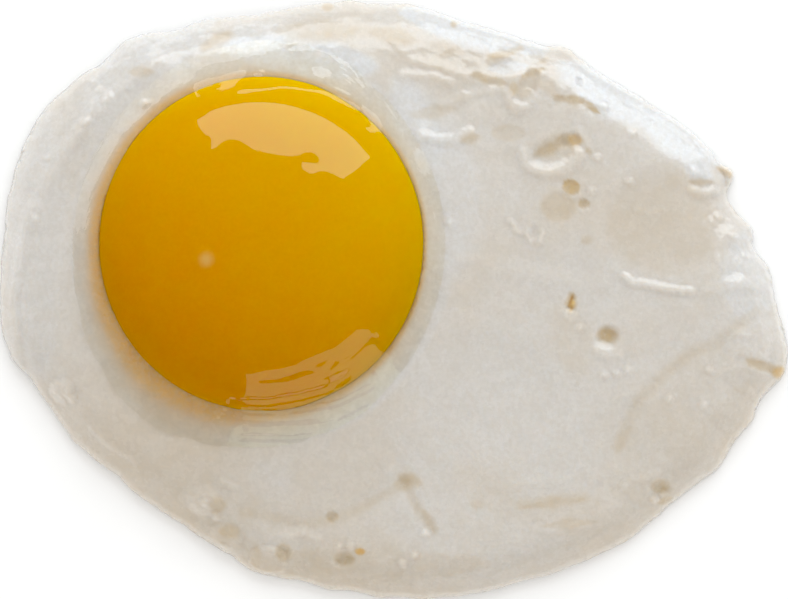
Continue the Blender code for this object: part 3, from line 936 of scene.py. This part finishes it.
# Small swells and dips of the film that break up what it mirrors: place, rise, reach (mm)
FILM_RIPPLES = (
    ((-6.5, 15.2), 0.14, 3.4), ((-10.5, 17.0), -0.10, 2.8), ((-15.5, 18.0), 0.08, 3.0),
    ((-20.5, 18.6), -0.10, 3.2), ((-25.0, 21.5), 0.14, 3.0), ((-3.2, 17.8), 0.12, 2.4),
    ((-18.3, -11.0), 0.10, 1.8), ((-7.3, -8.9), 0.12, 1.3), ((-9.0, 29.5), 0.10, 2.2),
    ((-14.0, 29.8), -0.08, 2.2), ((-5.0, 28.0), 0.10, 1.8), ((-21.5, -13.0), -0.10, 2.0),
    ((-2.0, -8.5), -0.14, 2.2),
)

# Fine lines across the film: the points they pass, rise, reach (mm)
FILM_LINES = (
    (((-16.7, -10.0), (-12.9, -9.5), (-10.7, -8.4), (-8.2, -7.3)), -0.10, 0.9),
    (((-20.5, -12.9), (-16.0, -12.9), (-12.0, -12.2), (-8.5, -11.3), (-6.0, -9.6)), -0.12, 0.9),
    (((-8.6, -9.0), (-7.6, -7.7), (-6.0, -7.6), (-5.4, -8.8), (-6.6, -10.2), (-8.4, -10.2)), -0.07, 0.6),
    (((-7.4, -7.4), (-5.6, -6.1), (-3.6, -4.4)), -0.10, 0.8),
    (((-18.0, -16.3), (-12.0, -16.2), (-7.0, -15.6), (-3.0, -13.6)), 0.08, 0.8),
    (((-22.0, -14.9), (-16.0, -15.1), (-10.0, -14.8)), -0.10, 0.7),
    (((-21.0, -14.0), (-14.0, -14.2), (-7.0, -13.0), (-3.0, -11.0)), -0.12, 0.6),
    (((-19.5, -17.3), (-13.0, -17.5), (-6.0, -16.8)), -0.10, 0.6),
    (((-14.2, -9.9), (-12.0, -9.0), (-9.8, -8.9)), -0.08, 0.5),
    (((-5.6, -7.2), (-4.0, -5.6), (-2.4, -4.6)), -0.10, 0.5),
    (((-17.0, 28.6), (-16.0, 31.2), (-11.0, 32.3), (-6.0, 31.2), (-3.6, 27.0)), 0.08, 0.7),
    (((-19.0, 26.3), (-14.0, 27.0), (-9.0, 26.4), (-5.0, 24.6)), 0.05, 0.6),
    (((1.0, 15.1), (-1.4, 10.5), (0.7, 7.7)), 0.03, 0.45),
)

# The clear white's underside inside the set white: share of the rim's reach, height (mm)
UNDERSIDE = ((1.0, 5.6), (0.97, 4.4), (0.90, 2.6), (0.80, 1.2), (0.66, 0.8), (0.0, 0.8))


class EGG_OT_clear(bpy.types.Operator):
    """Model the clear unset white: a film over the yolk and a collar round its foot"""
    bl_idname = "egg.clear"
    bl_label = "Clear White"

    def execute(self, context):
        looks = context.scene.egg_clear
        deselect_all()
        middle = (*YOLK_MIDDLE.xy, GIRTH)
        bpy.ops.mesh.primitive_uv_sphere_add(
            segments=FILM_SEGMENTS, ring_count=FILM_RINGS, radius=1.0, location=middle)
        piece = open_piece("clear_white")
        heights = np.clip(Hand(piece).points[:, 2], -1, 1)
        ring = np.rint(np.arccos(heights) / math.pi * FILM_RINGS)
        radii = YOLK_RADII + Vector((1, 1, 0)) * looks.film
        dome = YOLK_HIGH.z - GIRTH + looks.film
        bpy.ops.transform.resize(value=(radii.x, radii.y, dome), center_override=middle)
        hand = Hand(piece)
        self.lay_collar(hand, ring, dome, looks)
        bpy.ops.mesh.select_all(action="SELECT")
        bpy.ops.mesh.normals_make_consistent(inside=False)
        hand.refresh()
        self.ripple(hand, ring)
        close_piece(piece)
        piece.data.materials.append(clear_material(looks))
        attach(piece, "root")
        return {"FINISHED"}

    def ripple(self, hand, ring):
        """Small swells, dips and lines above the rim."""
        for place, rise, reach in FILM_RIPPLES:
            away = np.linalg.norm(hand.plan + np.array(YOLK_MIDDLE.xy) - np.array(place) * MM, axis=1)
            away[ring > RIM_RING - 2] = 1
            hand.pull(away <= away.min(), (0, 0, rise * MM), reach * MM)
        for path, rise, reach in FILM_LINES:
            away = from_path(hand.plan + np.array(YOLK_MIDDLE.xy), scaled(path))
            away[ring > RIM_RING - 2] = 1
            hand.pull(away <= 0.2 * MM, (0, 0, rise * MM), reach * MM)

    def lay_collar(self, hand, ring, dome, looks):
        """Run the lower rings out from the dome on to the white, then down and back inside it."""
        radii = YOLK_RADII + Vector((1, 1, 0)) * looks.film
        plan = hand.plan
        bearing = np.arctan2(plan[:, 1], plan[:, 0])
        leave = math.radians(LEAVE_RING * 180 / FILM_RINGS)
        inner = math.sin(leave)
        start_z = GIRTH + dome * math.cos(leave)
        slope = -dome * math.tan(leave)
        turns, widths, slopes = np.array(COLLAR).T
        outer = 1 + smooth_loop(np.degrees(bearing), turns, widths) * MM / YOLK_RADII.x
        end_slope = -smooth_loop(np.degrees(bearing), turns, slopes) * radii.x
        share = (ring - LEAVE_RING) / (RIM_RING - LEAVE_RING)
        reach = inner + (outer - inner) * np.clip(share, 0, 1)
        below = np.clip((ring - RIM_RING) / (FILM_RINGS - RIM_RING), 0, 1)
        narrowing, levels = np.array(UNDERSIDE).T
        steps = np.linspace(0, 1, len(levels))
        reach = reach * np.where(ring > RIM_RING, np.interp(below, steps, narrowing), 1)
        x = np.cos(bearing) * reach * radii.x
        y = np.sin(bearing) * reach * radii.y
        collar = (ring > LEAVE_RING) & (ring <= RIM_RING)
        brim = np.zeros(len(plan))
        places = np.stack((x, y), axis=1)[collar] + np.array(YOLK_MIDDLE.xy)
        brim[collar] = white_heights(places) - looks.tuck
        rise = landing(share, start_z, slope * (outer - inner), brim, end_slope * (outer - inner))
        over = 1 - (reach * radii.x / (YOLK_RADII.x + 0.15 * MM)) ** 2
        cover = GIRTH + (YOLK_HIGH.z - GIRTH + 0.15 * MM) * np.sqrt(np.maximum(over, 0))
        rise = np.where(over > 0, np.maximum(rise, cover), rise)
        rim = ring == RIM_RING
        rim_height = np.interp(bearing, *in_order(bearing[rim], rise[rim]), period=2 * math.pi)
        under = np.minimum(np.interp(below, steps, levels) * MM, rim_height - 0.8 * MM)
        for index in np.flatnonzero(ring > LEAVE_RING):
            z = rise[index] if collar[index] else under[index]
            hand.verts[index].co = (x[index], y[index], z - GIRTH)
        bmesh.update_edit_mesh(hand.piece.data)


def in_order(angles, values):
    order = np.argsort(angles)
    return angles[order], values[order]


def smooth_loop(bearing, turns, widths):
    """Widths round a loop, eased between the given bearings (degrees)."""
    bearing = np.mod(bearing, 360)
    turns = np.append(turns, turns[0] + 360)
    widths = np.append(widths, widths[0])
    place = np.clip(np.searchsorted(turns, bearing, side="right") - 1, 0, len(turns) - 2)
    share = (bearing - turns[place]) / (turns[place + 1] - turns[place])
    share = share * share * (3 - 2 * share)
    return widths[place] + share * (widths[place + 1] - widths[place])


def landing(share, start, start_slope, end, end_slope):
    """A curve that leaves one height at one slope and reaches another at another."""
    to_end = share * share * (3 - 2 * share)
    leaving = share * (1 - share) ** 2
    arriving = share * share * (share - 1)
    return start * (1 - to_end) + start_slope * leaving + end * to_end + end_slope * arriving


def white_heights(plan):
    """Height of the white at plan points, as it was before the seat was pressed into it."""
    piece = bpy.data.objects["egg_white"]
    top = np.array([vert.co for vert in piece.data.vertices])
    brim = np.zeros(len(top), np.float32)
    piece.data.attributes["brim"].data.foreach_get("value", brim)
    known = np.flatnonzero(brim > GIRTH / 2)
    tree = kdtree.KDTree(len(known))
    for index in known:
        tree.insert((top[index][0], top[index][1], 0), index)
    tree.balance()
    heights = []
    for x, y in plan:
        near = tree.find_n((x, y, 0), 4)
        weights = [1 / (distance + 1e-6) for _, _, distance in near]
        heights.append(sum(w * brim[i] for w, (_, i, _) in zip(weights, near)) / sum(weights))
    return np.array(heights)


CAMERA_HEIGHT = 0.9


def area_light(name, bearing, distance, width, low, high, radiance, colour):
    """An upright rectangle of light that faces the egg from a bearing (degrees from +Y)."""
    turn = math.radians(bearing)
    light = bpy.data.lights.new(name, "AREA")
    light.shape = "RECTANGLE"
    light.size = width
    light.size_y = high - low
    light.energy = radiance * math.pi * width * (high - low)
    light.color = colour
    lamp = bpy.data.objects.new(name, light)
    bpy.context.scene.collection.objects.link(lamp)
    lamp.location = (distance * math.sin(turn), distance * math.cos(turn), (low + high) / 2)
    lamp.rotation_euler = (math.radians(90), 0, -turn + math.pi)
    lamp.visible_camera = False
    return lamp


class EGG_OT_stage(bpy.types.Operator):
    """Set the egg on a pale floor under soft lights, with the camera straight above"""
    bl_idname = "egg.stage"
    bl_label = "Stage"

    def execute(self, context):
        looks = context.scene.egg_stage
        deselect_all()
        bpy.ops.mesh.primitive_plane_add(size=2.4, location=(0, 0, -0.02 * MM))
        floor = open_piece("floor")
        bpy.ops.mesh.subdivide(number_cuts=3)
        close_piece(floor)
        floor.data.materials.append(floor_material())
        self.set_lamps(looks)
        self.set_room(context, looks)
        self.set_camera(context)
        return {"FINISHED"}

    def set_lamps(self, looks):
        """A key behind the egg, a fill that only the clear white mirrors, and a low band at the
        other three sides that only the set white mirrors."""
        area_light("key_light", 13, 1.0, 1.66, 0.25, 1.31, looks.key_strength, (0.87, 0.94, 1.0))
        fill = area_light("fill_light", 160, 0.8, 0.90, 0.06, 0.46, looks.fill_strength, (0.8, 1.0, 0.75))
        self.only_mirrored_by(fill, "clear_white")
        for bearing in (90, 180, 270):
            side = area_light(f"horizon_{bearing}", bearing, 1.1, 2.2, 0.0, 0.45,
                              looks.horizon_strength, (1.0, 1.0, 1.0))
            side.visible_diffuse = False
            self.only_mirrored_by(side, "egg_white")

    def set_room(self, context, looks):
        """Even light from all around, which nothing mirrors."""
        world = bpy.data.worlds.new("room")
        context.scene.world = world
        world.use_nodes = True
        background = world.node_tree.nodes["Background"]
        background.inputs["Color"].default_value = (1.0, 0.985, 0.96, 1)
        background.inputs["Strength"].default_value = looks.room_strength
        world.cycles_visibility.glossy = False
        context.scene.view_settings.view_transform = "Standard"

    def set_camera(self, context):
        lens = bpy.data.cameras.new("camera")
        camera = bpy.data.objects.new("camera", lens)
        context.scene.collection.objects.link(camera)
        size = WHITE_HIGH - WHITE_LOW
        middle = (WHITE_LOW + WHITE_HIGH) / 2
        camera.location = (middle.x, middle.y, CAMERA_HEIGHT)
        lens.sensor_width = 36.0
        lens.lens = lens.sensor_width * CAMERA_HEIGHT / size.x
        context.scene.camera = camera

    def only_mirrored_by(self, lamp, name):
        """Let one piece alone take a lamp's light."""
        mirrors = bpy.data.collections.new(f"mirrors_of_{lamp.name}")
        mirrors.objects.link(bpy.data.objects[name])
        lamp.light_linking.receiver_collection = mirrors


class EGG_PT_panel(bpy.types.Panel):
    """Lists the steps that build the egg"""
    bl_label = "Fried Egg"
    bl_idname = "EGG_PT_panel"
    bl_space_type = "VIEW_3D"
    bl_region_type = "UI"
    bl_category = "Egg"

    def draw(self, context):
        for step in STEPS:
            self.layout.operator(step.bl_idname)


SETTINGS = (("egg_white", EggWhite), ("egg_yolk", EggYolk), ("egg_clear", EggClear),
            ("egg_stage", EggStage))
STEPS = (EGG_OT_white, EGG_OT_yolk, EGG_OT_clear, EGG_OT_stage)


def register():
    for name, group in SETTINGS:
        bpy.utils.register_class(group)
        setattr(bpy.types.Scene, name, bpy.props.PointerProperty(type=group))
    for step in STEPS:
        bpy.utils.register_class(step)
    bpy.utils.register_class(EGG_PT_panel)


def unregister():
    bpy.utils.unregister_class(EGG_PT_panel)
    for step in reversed(STEPS):
        bpy.utils.unregister_class(step)
    for name, group in reversed(SETTINGS):
        delattr(bpy.types.Scene, name)
        bpy.utils.unregister_class(group)


def main():
    register()
    bpy.ops.egg.white()
    bpy.ops.egg.yolk()
    bpy.ops.egg.clear()
    bpy.ops.egg.stage()


if __name__ == "__main__":
    main()
